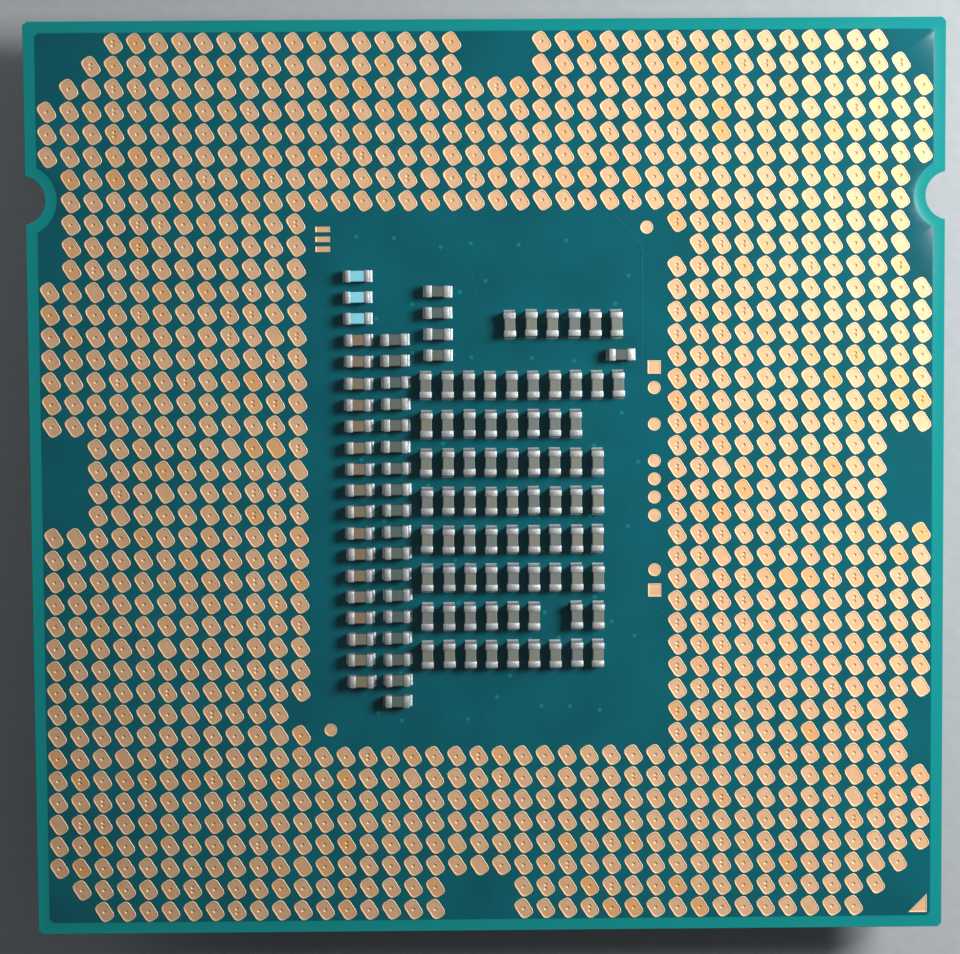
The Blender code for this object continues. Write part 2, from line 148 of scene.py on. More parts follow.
def nickel_plate():
    """Matt nickel over stamped copper: warm grey, with a fine frosted grain and faint duller clouds."""
    made, tree, shader, place = start_material("nickel_plate", 0.34, metallic=1.0)
    clouds = grain(tree, place, 3 * MM, detail=3)
    frost = grain(tree, place, 0.06 * MM)
    paint(tree, shader, mottled(tree, clouds, "#C3C0B9", "#B4B0A8"), spread(tree, clouds, 0.30, 0.40))
    roughen(tree, shader, frost, 0.002 * MM, 0.6)
    return made


def arc(centre, radius, start, turn, steps=8):
    """Points along an arc, its ends included; angles in radians."""
    angles = [start + turn * step / steps for step in range(steps + 1)]
    return [(centre[0] + radius * math.cos(a), centre[1] + radius * math.sin(a)) for a in angles]


def rounded_rectangle(half_x, half_y, radius, steps=8):
    """An outline round the origin, counter-clockwise."""
    points = []
    for quarter, (sx, sy) in enumerate(((1, 1), (-1, 1), (-1, -1), (1, -1))):
        centre = (sx * (half_x - radius), sy * (half_y - radius))
        points += arc(centre, radius, quarter * QUARTER_TURN, QUARTER_TURN, steps)
    return points


def mirrored(right_half):
    """The points of a right half, then the same ones on the left in reverse."""
    return right_half + [(-x, y) for x, y in reversed(right_half)]


def object_from(name, shape):
    """A scene object for this bmesh, which is freed."""
    mesh = bpy.data.meshes.new(name)
    shape.to_mesh(mesh)
    shape.free()
    made = bpy.data.objects.new(name, mesh)
    bpy.context.scene.collection.objects.link(made)
    return made


def slab(name, outline, bottom, top):
    """A plate with this outline."""
    shape = bmesh.new()
    face = shape.faces.new([shape.verts.new((x, y, bottom)) for x, y in outline])
    raised = bmesh.ops.extrude_face_region(shape, geom=[face], use_keep_orig=True)["geom"]
    lifted = [item for item in raised if isinstance(item, bmesh.types.BMVert)]
    bmesh.ops.translate(shape, vec=(0, 0, top - bottom), verts=lifted)
    bmesh.ops.recalc_face_normals(shape, faces=shape.faces)
    return object_from(name, shape)


def cut(target, other, operation="DIFFERENCE"):
    """Joins the other object to the target, or takes it away, when the target is settled."""
    step = target.modifiers.new(other.name, "BOOLEAN")
    step.operation = operation
    step.object = other
    return other


def settle(target, *helpers):
    """Turns the object's modifiers into a plain mesh and removes the helpers."""
    graph = bpy.context.evaluated_depsgraph_get()
    mesh = bpy.data.meshes.new_from_object(target.evaluated_get(graph))
    target.modifiers.clear()
    target.data = mesh
    mesh.name = target.name
    for helper in helpers:
        bpy.data.objects.remove(helper, do_unlink=True)
    return target


def finish_piece(piece, material=None, replaced=(), smooth=True):
    """Gives a piece its finish and its shading, and fixes it to the package."""
    if material:
        piece.data.materials.clear()
        piece.data.materials.append(material)
    if smooth:
        piece.data.shade_smooth()
        piece.data.set_sharp_from_angle(angle=SMOOTH_BELOW)
    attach(piece, "root")
    if replaced:
        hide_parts(*replaced)


def lid_outline(half_x, half_y):
    """The lid's base: a rounded rectangle with an ear on its left and right sides."""
    body_x = half_x - EAR_REACH
    low = EAR_CORNER - EAR_HALF_LENGTH
    right = arc((body_x - LID_CORNER, LID_CORNER - half_y), LID_CORNER, -QUARTER_TURN, QUARTER_TURN)
    right.append((body_x, -EAR_HALF_LENGTH - EAR_CORNER))
    right += arc((half_x - EAR_CORNER, low), EAR_CORNER, -QUARTER_TURN, QUARTER_TURN)
    right += arc((half_x - EAR_CORNER, -low), EAR_CORNER, 0, QUARTER_TURN)
    right.append((body_x, EAR_HALF_LENGTH + EAR_CORNER))
    right += arc((body_x - LID_CORNER, half_y - LID_CORNER), LID_CORNER, 0, QUARTER_TURN)
    return mirrored(right)


def make_heat_spreader():
    """Base, plateau and hollow, with every edge rounded as the press leaves it."""
    low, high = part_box("heat_spreader")
    body_x = high.x - EAR_REACH
    lid = slab("heat_spreader_plated", lid_outline(high.x, high.y), LID_STEP, high.z)
    plateau = rounded_rectangle(body_x - PLATEAU_MARGIN, high.y - PLATEAU_MARGIN, PLATEAU_CORNER)
    joined = cut(lid, slab("plateau", plateau, low.z, (LID_STEP + LID_ROOF) / 2), "UNION")
    hollow = rounded_rectangle(body_x - LID_FOOT, high.y - LID_FOOT, HOLLOW_CORNER)
    taken = cut(lid, slab("hollow", hollow, LID_ROOF, high.z + LID_ROOF))
    edges = lid.modifiers.new("pressed_edges", "BEVEL")
    edges.width = LID_ROUNDING
    edges.segments = 4
    edges.limit_method = "ANGLE"
    edges.angle_limit = SMOOTH_BELOW
    settle(lid, joined, taken)
    finish_piece(lid, nickel_plate(), ["heat_spreader"])


make_heat_spreader()


# ---- Lid sealant
# A bead of black silicone that the lid is pressed into. It squeezes out a little past the lid's foot, and
# it stops short at one side, which leaves a vent.

SEALANT_WIDTH = 2.1 * MM
SEALANT_BULGE = 0.06 * MM
SEALANT_CORNER = 1.5 * MM
VENT_WIDTH = 2.4 * MM


def black_silicone():
    """Cured silicone rubber: black, soft in sheen, with a skin that is slightly dimpled."""
    made, tree, shader, place = start_material("black_silicone", 0.52, ior=1.41)
    skin = grain(tree, place, 0.15 * MM, detail=3)
    paint(tree, shader, mottled(tree, skin, "#141517", "#1E1F22"))
    roughen(tree, shader, skin, 0.01 * MM, 0.5)
    return made


def bridge(shape, first, second):
    """A band of faces between two rings of the same number of vertices."""
    pairs = list(zip(first, second))
    following = pairs[1:] + pairs[:1]
    return [shape.faces.new((a, c, d, b)) for (a, b), (c, d) in zip(pairs, following)]


def sweep(name, route, section, closed=False):
    """Carries a section of (outward, height) points along a route in XY. An open route gets flat ends."""
    shape = bmesh.new()
    last = len(route) - 1
    rings = []
    for index, point in enumerate(route):
        before = route[index - 1 if index or closed else 0]
        after = route[(index + 1) % len(route) if closed else min(index + 1, last)]
        along = (Vector(after) - Vector(before)).normalized()
        outward = Vector((along.y, -along.x))
        rings.append([shape.verts.new((*(Vector(point) + outward * out), up)) for out, up in section])
    pairs = list(zip(rings, rings[1:]))
    if closed:
        pairs.append((rings[-1], rings[0]))
    for first, second in pairs:
        bridge(shape, first, second)
    if not closed:
        shape.faces.new(rings[0])
        shape.faces.new(rings[-1])
    bmesh.ops.recalc_face_normals(shape, faces=shape.faces)
    return object_from(name, shape)


def make_sealant():
    """The flattened bead, from one side of the vent round to the other."""
    low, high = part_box("lid_sealant")
    middle, side = (low.z + high.z) / 2, SEALANT_WIDTH / 2
    half_x, half_y = high.x - side, high.y - side
    loop = rounded_rectangle(half_x, half_y, SEALANT_CORNER)
    quarter = len(loop) // 4
    route = [(VENT_WIDTH / 2, -half_y), *loop[-quarter:], *loop[:-quarter], (-VENT_WIDTH / 2, -half_y)]
    edge = [(side, low.z), (side + SEALANT_BULGE, middle), (side, high.z)]
    section = edge + [(-out, up) for out, up in reversed(edge)]
    bead = sweep("lid_sealant_bead", route, section)
    finish_piece(bead, black_silicone(), ["lid_sealant"])


make_sealant()


# ---- Thermal paste and die
# The die is a slab of polished silicon that faces the lid with its bare back. The paste is a grey cream of
# metal oxide in silicone, spread between the two.


def repaint(node, material):
    """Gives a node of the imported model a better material."""
    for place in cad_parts[node].material_slots:
        place.material = material


def thermal_paste():
    """Oxide-filled silicone grease: a dull light grey cream with soft ridges from the spreading."""
    made, tree, shader, place = start_material("thermal_paste", 0.62, ior=1.45)
    ridges = grain(tree, place, 0.4 * MM, detail=4, stretch=(1, 0.15, 1))
    paint(tree, shader, mottled(tree, ridges, "#8B8D90", "#A2A4A6"))
    roughen(tree, shader, ridges, 0.02 * MM)
    return made


def silicon():
    """Polished silicon: nearly black with a blue cast, mirror-like because its index is so high."""
    made, tree, shader, place = start_material("silicon", 0.09, ior=3.9)
    haze = grain(tree, place, 2 * MM, detail=3)
    paint(tree, shader, mottled(tree, haze, "#17191D", "#1F2229"), spread(tree, haze, 0.07, 0.13))
    return made


repaint("thermal_paste", thermal_paste())
repaint("silicon_die", silicon())


# ---- Solder bumps
# The die stands on an array of tin bumps that were reflowed against the package. The real spacing is finer
# than this, at about 0.15 mm: the bumps are drawn coarser, with the same height.

BUMP_SPACING = 0.5 * MM
BUMP_WIDTH = 0.24 * MM


def reflowed_tin():
    """Tin solder after reflow: a bright grey metal, slightly frosted where its grains froze."""
    made, tree, shader, place = start_material("reflowed_tin", 0.3, metallic=1.0)
    frost = grain(tree, place, 0.05 * MM, detail=3)
    paint(tree, shader, mottled(tree, frost, "#D9D4D1", "#BDB9B8"), spread(tree, frost, 0.26, 0.42))
    roughen(tree, shader, frost, 0.004 * MM, 0.5)
    return made


def start_tree(name, **inputs):
    """A geometry tree and its inputs, one for each label. A label has underscores in place of its spaces."""
    tree = bpy.data.node_groups.new(name, "GeometryNodeTree")
    for label, kind in {"Geometry": "Geometry", "Material": "Material", **inputs}.items():
        tree.interface.new_socket(label.replace("_", " "), in_out="INPUT", socket_type="NodeSocket" + kind)
    tree.interface.new_socket("Geometry", in_out="OUTPUT", socket_type="NodeSocketGeometry")
    return tree, tree.nodes.new("NodeGroupInput").outputs


def end_tree(tree, geometry, material):
    """Makes the instances real, paints them and ends the tree."""
    whole = add_node(tree, "GeometryNodeRealizeInstances", {"Geometry": geometry}).outputs[0]
    painted = add_node(tree, "GeometryNodeSetMaterial", {"Geometry": whole, "Material": material}).outputs[0]
    add_node(tree, "NodeGroupOutput", {"Geometry": painted})


def upward(tree, height):
    """A vector that points up by this height."""
    return add_node(tree, "ShaderNodeCombineXYZ", {"Z": height}).outputs[0]


def moved(tree, geometry, **sockets):
    """The geometry, moved, turned or scaled."""
    return add_node(tree, "GeometryNodeTransform", {"Geometry": geometry, **sockets}).outputs[0]


def joined(tree, parts):
    """The parts as one geometry. Instances come out in the opposite order."""
    join = add_node(tree, "GeometryNodeJoinGeometry")
    for part in parts:
        tree.links.new(part, join.inputs[0])
    return join.outputs[0]


def on_points(tree, points, shape, sockets=None):
    """The shape on every point."""
    placing = {"Points": points, "Instance": shape, **(sockets or {})}
    return add_node(tree, "GeometryNodeInstanceOnPoints", placing).outputs[0]


def point_number(tree, label, kind="FLOAT"):
    """The number that each point carries under this label."""
    return add_node(tree, "GeometryNodeInputNamedAttribute", {"Name": label}, data_type=kind).outputs[0]


def labelled(tree, geometry, label, value, domain="POINT", part=True):
    """The geometry with this number stored on part of it."""
    storing = {"Geometry": geometry, "Selection": part, "Name": label, "Value": value}
    kinds = {"data_type": "FLOAT", "domain": domain}
    return add_node(tree, "GeometryNodeStoreNamedAttribute", storing, **kinds).outputs[0]


def grow(piece, tree, values):
    """Runs the tree on the piece with these values by input name, and leaves a plain mesh."""
    step = piece.modifiers.new(tree.name, "NODES")
    step.node_group = tree
    inputs = {item.name: item.identifier for item in tree.interface.items_tree if item.in_out == "INPUT"}
    for label, value in values.items():
        step[inputs[label]] = value
    return settle(piece)


def bump_tree():
    """Squashed balls on a grid."""
    tree, given = start_tree(
        "solder_bump_array",
        Size_X="Float",
        Size_Y="Float",
        Columns="Int",
        Rows="Int",
        Bump_Size="Vector",
        Middle_Z="Float",
    )
    sides = {0: given["Size X"], 1: given["Size Y"], 2: given["Columns"], 3: given["Rows"]}
    grid = add_node(tree, "GeometryNodeMeshGrid", sides).outputs[0]
    ball = add_node(tree, "GeometryNodeMeshUVSphere", {"Segments": 8, "Rings": 5, "Radius": 0.5}).outputs[0]
    bumps = on_points(tree, grid, moved(tree, ball, Scale=given["Bump Size"]))
    lifted = moved(tree, bumps, Translation=upward(tree, given["Middle Z"]))
    end_tree(tree, lifted, given["Material"])
    return tree


def make_bumps():
    """The array that fills the CAD layer between die and package."""
    low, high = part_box("solder_bumps")
    span = high - low
    size = (span.x - BUMP_WIDTH, span.y - BUMP_WIDTH)
    bumps = object_from("solder_bump_array", bmesh.new())
    values = {
        "Size X": size[0],
        "Size Y": size[1],
        "Columns": round(size[0] / BUMP_SPACING) + 1,
        "Rows": round(size[1] / BUMP_SPACING) + 1,
        "Bump Size": (BUMP_WIDTH, BUMP_WIDTH, span.z),
        "Middle Z": (low.z + high.z) / 2,
        "Material": tin,
    }
    finish_piece(grow(bumps, bump_tree(), values), replaced=["solder_bumps"])


tin = reflowed_tin()
make_bumps()


# ---- Underfill
# Epoxy that was drawn in between the bumps by capillary force. What is left over climbs the die's sides in
# a hollow curve, wide on the package and thin on the die.

UNDERFILL_GAP = 0.02 * MM
FILLET_STEPS = 6


def underfill_epoxy():
    """Silica-filled epoxy: dark amber brown, glossy, with a slight flow texture."""
    made, tree, shader, place = start_material("underfill_epoxy", 0.28, ior=1.55)
    flow = grain(tree, place, 0.8 * MM, detail=3)
    paint(tree, shader, mottled(tree, flow, "#1D1611", "#2C2118"))
    roughen(tree, shader, flow, 0.01 * MM, 0.5)
    return made


def make_underfill():
    """The fillet round the die: its section is a quarter of a hollow ellipse."""
    low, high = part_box("die_underfill")
    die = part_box("silicon_die")[1]
    reach, rise = high.x - die.x - UNDERFILL_GAP, high.z - low.z
    angles = [QUARTER_TURN * step / FILLET_STEPS for step in range(FILLET_STEPS + 1)]
    hollow = [(UNDERFILL_GAP + reach * (1 - math.cos(a)), low.z + rise * math.sin(a)) for a in angles]
    route = rounded_rectangle(die.x, die.y, UNDERFILL_GAP, steps=1)
    fillet = sweep("die_underfill_fillet", route, [(UNDERFILL_GAP, high.z), *hollow], closed=True)
    finish_piece(fillet, underfill_epoxy(), ["die_underfill"])


make_underfill()


# ---- Laminates
# The board is a core of glass cloth in epoxy with a build-up of plain dielectric film on each side. It is
# cut from a panel, so its edge shows the core's cloth in layers and the film as a thin plain line.

CLOTH_LAYER = 0.1 * MM
YARN_WIDTH = 0.45 * MM


def core_laminate():
    """Glass cloth in epoxy, cut through: olive resin with paler lines of glass, dusty from the saw."""
    made, tree, shader, place = start_material("glass_epoxy_laminate", 0.58, ior=1.55)
    yarns = grain(tree, place, YARN_WIDTH, detail=3, stretch=(1, 1, YARN_WIDTH / CLOTH_LAYER))
    dust = grain(tree, place, 0.05 * MM, detail=3)
    cloth = mottled(tree, yarns, "#4E5A32", "#97935F")
    paint(tree, shader, blend_colours(tree, spread(tree, dust, 0, 0.4), cloth, "#B3AE86"))
    roughen(tree, shader, dust, 0.006 * MM, over=roughen(tree, shader, yarns, 0.01 * MM))
    return made


def buildup_film():
    """Silica-filled epoxy film, cut through: plain grey-green and finely matt."""
    made, tree, shader, place = start_material("buildup_film", 0.5, ior=1.6)
    filler = grain(tree, place, 0.04 * MM, detail=3)
    paint(tree, shader, mottled(tree, filler, "#2F5546", "#41685A"))
    roughen(tree, shader, filler, 0.004 * MM)
    return made


film = buildup_film()
repaint("core_laminate", core_laminate())
repaint("die_side_buildup", film)
repaint("land_side_buildup", film)


# ---- Solder mask
# A thin coat of teal lacquer over each outer layer of copper, levelled before it was cured. Over copper it
# looks deep; where the copper stops short of the package's edge, the pale laminate shows through and it
# looks lighter.

MASK_DEEP = "#04515A"
MASK_DEEP_SHADE = "#034850"
MASK_OVER_LAMINATE = "#0A7674"


def solder_mask():
    """Cured lacquer: a saturated teal, satin, with the faint orange peel of a levelled coat."""
    made, tree, shader, place = start_material("solder_mask", 0.19, ior=1.5)
    clouds = grain(tree, place, 2.5 * MM, detail=3)
    peel = grain(tree, place, 0.12 * MM)
    bare = add_node(tree, "ShaderNodeAttribute", attribute_name="over_laminate").outputs["Fac"]
    shade = blend_colours(tree, bare, mottled(tree, clouds, MASK_DEEP, MASK_DEEP_SHADE), MASK_OVER_LAMINATE)
    paint(tree, shader, shade, spread(tree, clouds, 0.17, 0.21))
    roughen(tree, shader, peel, 0.0015 * MM, 0.5)
    return made


mask = solder_mask()
repaint("die_side_mask", mask)


# ---- Contact lands
# 1155 pads of copper under nickel and gold, which the socket's springs press on. Each is a leaning rounded
# rectangle with a raised rim, and most show one or two dimples where a plated via lies under them.

GRID_COUNT = 40
EDGE_MARGIN = 0.919 * MM  # package edge to the outermost row of land centres
LAND_WIDTH = 0.59 * MM
LAND_LENGTH = 0.82 * MM
LAND_CORNER = 0.18 * MM
LAND_LEAN = math.radians(32)
RIM_EDGE = 0.012 * MM  # rounding of the land's upper edge, as wide as it is high
RIM_FLAT = 0.022 * MM
RIM_SLOPE = 0.025 * MM
RIM_DEPTH = 0.012 * MM
VIA_RADIUS = 0.08 * MM
VIA_DEPTH = 0.034 * MM
VIA_SPACING = 0.17 * MM
VIA_SIDES = 8
VIA_FLOOR = 0.4  # width of a dimple's floor as a share of its mouth
NO_VIA = 0.04  # share of the lands
PAIRS_AWAY = 0.1  # share of the lands that have two vias, away from the opening in the grid
PAIRS_BESIDE = 0.4  # beside it
PAIRS_ON_RIGHT = 0.9  # in the columns on its right
TINT_RARITY = 8  # the higher, the fewer lands are redder
LEVEL = 0.999  # the least upward share of a level face's normal
CORNER_POINTS = 2  # points added at each rounded corner
WELD = 0.0001 * MM

board_low, board_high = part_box("land_side_mask")
LAND_PITCH = (board_high.x - board_low.x - 2 * EDGE_MARGIN) / (GRID_COUNT - 1)


def gold_plate():
    """Soft gold over nickel: pale and finely matt, redder on some lands, and paler along every rim as a
    painted highlight.
    """
    made, tree, shader, place = start_material("gold_plate", 0.7, metallic=1.0)
    tint = add_node(tree, "ShaderNodeAttribute", attribute_name="tint").outputs["Fac"]
    rim = add_node(tree, "ShaderNodeAttribute", attribute_name="rim").outputs["Fac"]
    crystals = grain(tree, place, 0.05 * MM, detail=3)
    plain = mottled(tree, grain(tree, place, 0.35 * MM), "#DCB895", "#D7AE89")
    floor = blend_colours(tree, tint, plain, "#DAAA76")
    # The rim faces get a paler gold: a painted highlight, added to the light that their slopes catch.
    paint(tree, shader, blend_colours(tree, rim, floor, "#E5CFB3"), spread(tree, crystals, 0.67, 0.74))
    roughen(tree, shader, crystals, 0.0012 * MM, 0.5)
    return made


def has_land(column, row):
    """Whether the grid holds a land here. Columns count from the left and rows from the top, both from 1."""
    right, low = GRID_COUNT + 1 - column, GRID_COUNT + 1 - row
    centre = 13 <= column <= 28 and 9 <= row <= 32
    beside_fiducial = (column, row) in ((29, 10), (12, 31))
    top_gap = row <= 2 and 20 <= column <= 22
    bottom_gap = low <= 2 and 19 <= column <= 21
    side_gap = 19 <= row <= 22 and min(column, right) <= 2
    long_corner = column + row <= 4 or right + low <= 4
    short_corner = right + row <= 3 or column + low <= 3
    notch = 7 <= row <= 11 and min(column, right) == 1
    right_gap = 31 <= row <= 33 and right == 1
    return not any(
        (centre, beside_fiducial, top_gap, bottom_gap, side_gap, long_corner, short_corner, notch, right_gap)
    )


def land_places():
    """(x, y, how many vias, tint) of every land. Vias come in pairs mostly round the opening in the grid."""
    chance = random.Random(1155)
    middle = (GRID_COUNT + 1) / 2
    places = []
    for row in range(1, GRID_COUNT + 1):
        for column in range(1, GRID_COUNT + 1):
            beside = 9 <= row <= 32 and 10 <= column <= 31
            pairs = PAIRS_AWAY if not beside else PAIRS_ON_RIGHT if column > 28 else PAIRS_BESIDE
            draw, tint = chance.random(), chance.random() ** TINT_RARITY
            vias = 2 if draw < pairs else 0 if draw > 1 - NO_VIA else 1
            if has_land(column, row):
                places.append(((column - middle) * LAND_PITCH, (middle - row) * LAND_PITCH, vias, tint))
    return places


def land_outline(tree, given):
    """Nodes for a land's outline, upright, from the tree's Width, Length and Corner inputs."""
    sides = {"Width": given["Width"], "Height": given["Length"]}
    square = add_node(tree, "GeometryNodeCurvePrimitiveQuadrilateral", sides).outputs[0]
    corners = {"Curve": square, "Count": CORNER_POINTS, "Radius": given["Corner"]}
    return add_node(tree, "GeometryNodeFilletCurve", corners, mode="POLY").outputs[0]


def multiplied(tree, value, factor):
    """The product of two numbers."""
    return add_node(tree, "ShaderNodeMath", {0: value, 1: factor}, operation="MULTIPLY").outputs[0]


def less(tree, value, taken):
    """The first number less the second."""
    return add_node(tree, "ShaderNodeMath", {0: value, 1: taken}, operation="SUBTRACT").outputs[0]


def filled(tree, curve):
    """A flat face inside the curve."""
    return add_node(tree, "GeometryNodeFillCurve", {"Curve": curve}, mode="NGONS").outputs[0]


def drawn_in(tree, geometry, shrink, part=True):
    """The geometry with this part of it scaled towards the origin."""
    spot = add_node(tree, "GeometryNodeInputPosition").outputs[0]
    nearer = add_node(tree, "ShaderNodeVectorMath", {0: spot, 1: shrink}, operation="MULTIPLY").outputs[0]
    sockets = {"Geometry": geometry, "Selection": part, "Position": nearer}
    return add_node(tree, "GeometryNodeSetPosition", sockets).outputs[0]


def raised(tree, mesh, top, height, shrink, marked=False):
    """The mesh with its top pushed up and drawn in, and its new top. The new walls can be marked as a rim."""
    push = {"Mesh": mesh, "Selection": top, "Offset": upward(tree, height), "Individual": False}
    grown = add_node(tree, "GeometryNodeExtrudeMesh", {**push, "Offset Scale": 1.0})
    shaped = drawn_in(tree, grown.outputs["Mesh"], shrink, grown.outputs["Top"])
    if marked:
        shaped = labelled(tree, shaped, "rim", 1.0, "FACE", grown.outputs["Side"])
    return shaped, grown.outputs["Top"]


def land_shell(tree, given, plate):
    """A land's walls and rim, upright and open over its floor."""
    straight = add_node(tree, "ShaderNodeCombineXYZ", {"X": 1.0, "Y": 1.0, "Z": 1.0}).outputs[0]
    mesh, top = raised(tree, plate, True, less(tree, given["Height"], given["Rim Edge"]), straight)
    mesh, top = raised(tree, mesh, top, given["Rim Edge"], given["Edge Shrink"], marked=True)
    mesh, top = raised(tree, mesh, top, 0.0, given["Flat Shrink"], marked=True)
    mesh, floor = raised(tree, mesh, top, multiplied(tree, given["Rim Depth"], -1.0), given["Floor Shrink"])
    opened = {"Geometry": mesh, "Selection": floor}
    return add_node(tree, "GeometryNodeDeleteGeometry", opened, domain="FACE").outputs[0]


def land_floor(tree, given, outline, vias):
    """A land's floor inside this outline, with a dimple over each via."""
    sides = {"Resolution": VIA_SIDES, "Radius": given["Via Radius"]}
    mouth = add_node(tree, "GeometryNodeCurvePrimitiveCircle", sides).outputs[0]
    narrowing = add_node(tree, "ShaderNodeCombineXYZ", {"X": VIA_FLOOR, "Y": VIA_FLOOR, "Z": 1.0}).outputs[0]
    sink = multiplied(tree, given["Via Depth"], -1.0)
    dimple = raised(tree, filled(tree, mouth), True, sink, narrowing)[0]
    rings, dimples = [outline], []
    for number in range(vias):
        aside = multiplied(tree, given["Via Spacing"], number - (vias - 1) / 2)
        place = add_node(tree, "ShaderNodeCombineXYZ", {"Y": aside}).outputs[0]
        rings.append(moved(tree, mouth, Translation=place))
        dimples.append(moved(tree, dimple, Translation=place))
    return joined(tree, [filled(tree, joined(tree, rings)), *dimples])


def land_tree():
    """Lands on their places, with no via, one or two as each place's own number says."""
    tree, given = start_tree(
        "contact_land_grid",
        Width="Float",
        Length="Float",
        Corner="Float",
        Lean="Float",
        Height="Float",
        Rim_Edge="Float",
        Rim_Depth="Float",
        Edge_Shrink="Vector",
        Flat_Shrink="Vector",
        Floor_Shrink="Vector",
        Via_Radius="Float",
        Via_Depth="Float",
        Via_Spacing="Float",
    )
    outline = land_outline(tree, given)
    plate = filled(tree, outline)
    lean = upward(tree, given["Lean"])
    shell = moved(tree, land_shell(tree, given, plate), Rotation=lean)
    base = add_node(tree, "GeometryNodeFlipFaces", {"Mesh": moved(tree, plate, Rotation=lean)}).outputs[0]
    for shrink in ("Edge Shrink", "Flat Shrink", "Floor Shrink"):
        outline = drawn_in(tree, outline, given[shrink])
    outline = moved(tree, outline, Rotation=lean)
    floor_height = upward(tree, less(tree, given["Height"], given["Rim Depth"]))
    variants = []
    for vias in (2, 1, 0):
        floor = moved(tree, land_floor(tree, given, outline, vias), Translation=floor_height)
        weld = {"Geometry": joined(tree, [floor, shell, base]), "Distance": WELD}
        welded = add_node(tree, "GeometryNodeMergeByDistance", weld).outputs[0]
        variants.append(add_node(tree, "GeometryNodeGeometryToInstance", {"Geometry": welded}).outputs[0])
    picking = {"Pick Instance": True, "Instance Index": point_number(tree, "vias", "INT")}
    lands = on_points(tree, given["Geometry"], joined(tree, variants), picking)
    end_tree(tree, lands, given["Material"])
    return tree


def points_object(name, places, height, **numbers):
    """Loose points at these XY places, each with its own numbers as attributes."""
    mesh = bpy.data.meshes.new(name)
    mesh.from_pydata([(x, y, height) for x, y in places], [], [])
    for label, values in numbers.items():
        kind = "INT" if isinstance(values[0], int) else "FLOAT"
        mesh.attributes.new(label, kind, "POINT").data.foreach_set("value", values)
    made = bpy.data.objects.new(name, mesh)
    bpy.context.scene.collection.objects.link(made)
    return made


def shrink_from(inset, step):
    """How far to scale a land's outline that already lies in by the inset, to move it in by the step."""
    return (*[1 - 2 * step / (side - 2 * inset) for side in (LAND_WIDTH, LAND_LENGTH)], 1)


def keep_level_faces_flat(mesh):
    """Takes the level faces out of the smooth shading, so that it rounds only the rims and dimples."""
    mesh.polygons.foreach_set("use_smooth", [abs(face.normal.z) < LEVEL for face in mesh.polygons])


def make_lands():
    """One piece for each quarter of the grid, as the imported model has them."""
    tree = land_tree()
    for quarter in ("upper_left", "upper_right", "lower_left", "lower_right"):
        low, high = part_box("contact_lands_" + quarter)
        right, upper = quarter.endswith("right"), quarter.startswith("upper")
        mine = [place for place in lands if (place[0] > 0) == right and (place[1] > 0) == upper]
        x, y, vias, tint = zip(*mine)
        points = points_object("gold_lands_" + quarter, zip(x, y), low.z, vias=vias, tint=tint)
        values = {
            "Width": LAND_WIDTH,
            "Length": LAND_LENGTH,
            "Corner": LAND_CORNER,
            "Lean": LAND_LEAN,
            "Height": high.z - low.z,
            "Rim Edge": RIM_EDGE,
            "Rim Depth": RIM_DEPTH,
            "Edge Shrink": shrink_from(0, RIM_EDGE),
            "Flat Shrink": shrink_from(RIM_EDGE, RIM_FLAT),
            "Floor Shrink": shrink_from(RIM_EDGE + RIM_FLAT, RIM_SLOPE),
            "Via Radius": VIA_RADIUS,
            "Via Depth": VIA_DEPTH,
            "Via Spacing": VIA_SPACING,
            "Material": gold,
        }
        piece = grow(points, tree, values)
        finish_piece(piece, replaced=["contact_lands_" + quarter])
        keep_level_faces_flat(piece.data)


gold = gold_plate()
lands = land_places()
make_lands()


# ---- Land-side mask
# The lacquer over the outer copper. It has an opening a little larger than each land and pad, steps down
# where the copper stops, and shows the edges of the copper planes under it as faint ridges.

NOTCH_RADIUS = 1.0 * MM
NOTCH_DEPTH = 0.8 * MM
NOTCH_RISE = 12.61  # land pitches above the centre
CORNER_CHAMFER = 0.15 * MM
MOAT = 0.02 * MM  # bare gap round each land
COPPER_MARGIN = 0.5 * MM  # package edge to the copper's edge
STEP_WIDTH = 0.05 * MM
STEP_DEPTH = 0.012 * MM
EDGE_ROUNDING = 0.02 * MM
RIDGE_WIDTH = 0.09 * MM
RIDGE_HEIGHT = 0.006 * MM
PLUG_SIZE = (0.17 * MM, 0.17 * MM, 0.008 * MM)
PLUG_COLUMNS, PLUG_ROWS = 7, 10
PLUG_PALENESS = 0.6
OPENING = (6.2 * MM, 10.2 * MM)  # half the size of the part of the mask that holds no lands and no pads
# The edges of the copper planes that show in the opening, as points in millimetres
PLANE_EDGES = (
    ((-4.8, 11.0), (-4.3, 10.6), (-2.8, 10.6), (-0.6, 8.4), (-0.5, 7.4), (0.4, 6.9)),
    ((5.0, 11.0), (6.33, 9.55), (6.33, 2.28), (4.6, 2.28)),
    ((6.33, 9.15), (7.3, 9.15)),
    ((4.8, -4.75), (6.1, -4.75), (7.3, -5.7)),
    ((4.2, -6.4), (6.25, -6.9), (6.25, -8.7)),
    ((-2.9, -9.5), (-3.8, -10.4), (-5.6, -10.4)),
    ((0.6, 5.35), (4.6, 5.35)),
    ((0.2, 4.75), (4.4, 4.75)),
)
ROUND_PADS = ["fiducial_upper", "fiducial_lower"] + [f"test_pad_round_{n}" for n in range(1, 8)]
SQUARE_PADS = ["test_pad_square_1", "test_pad_square_2", "index_bar_1", "index_bar_2", "index_bar_3"]


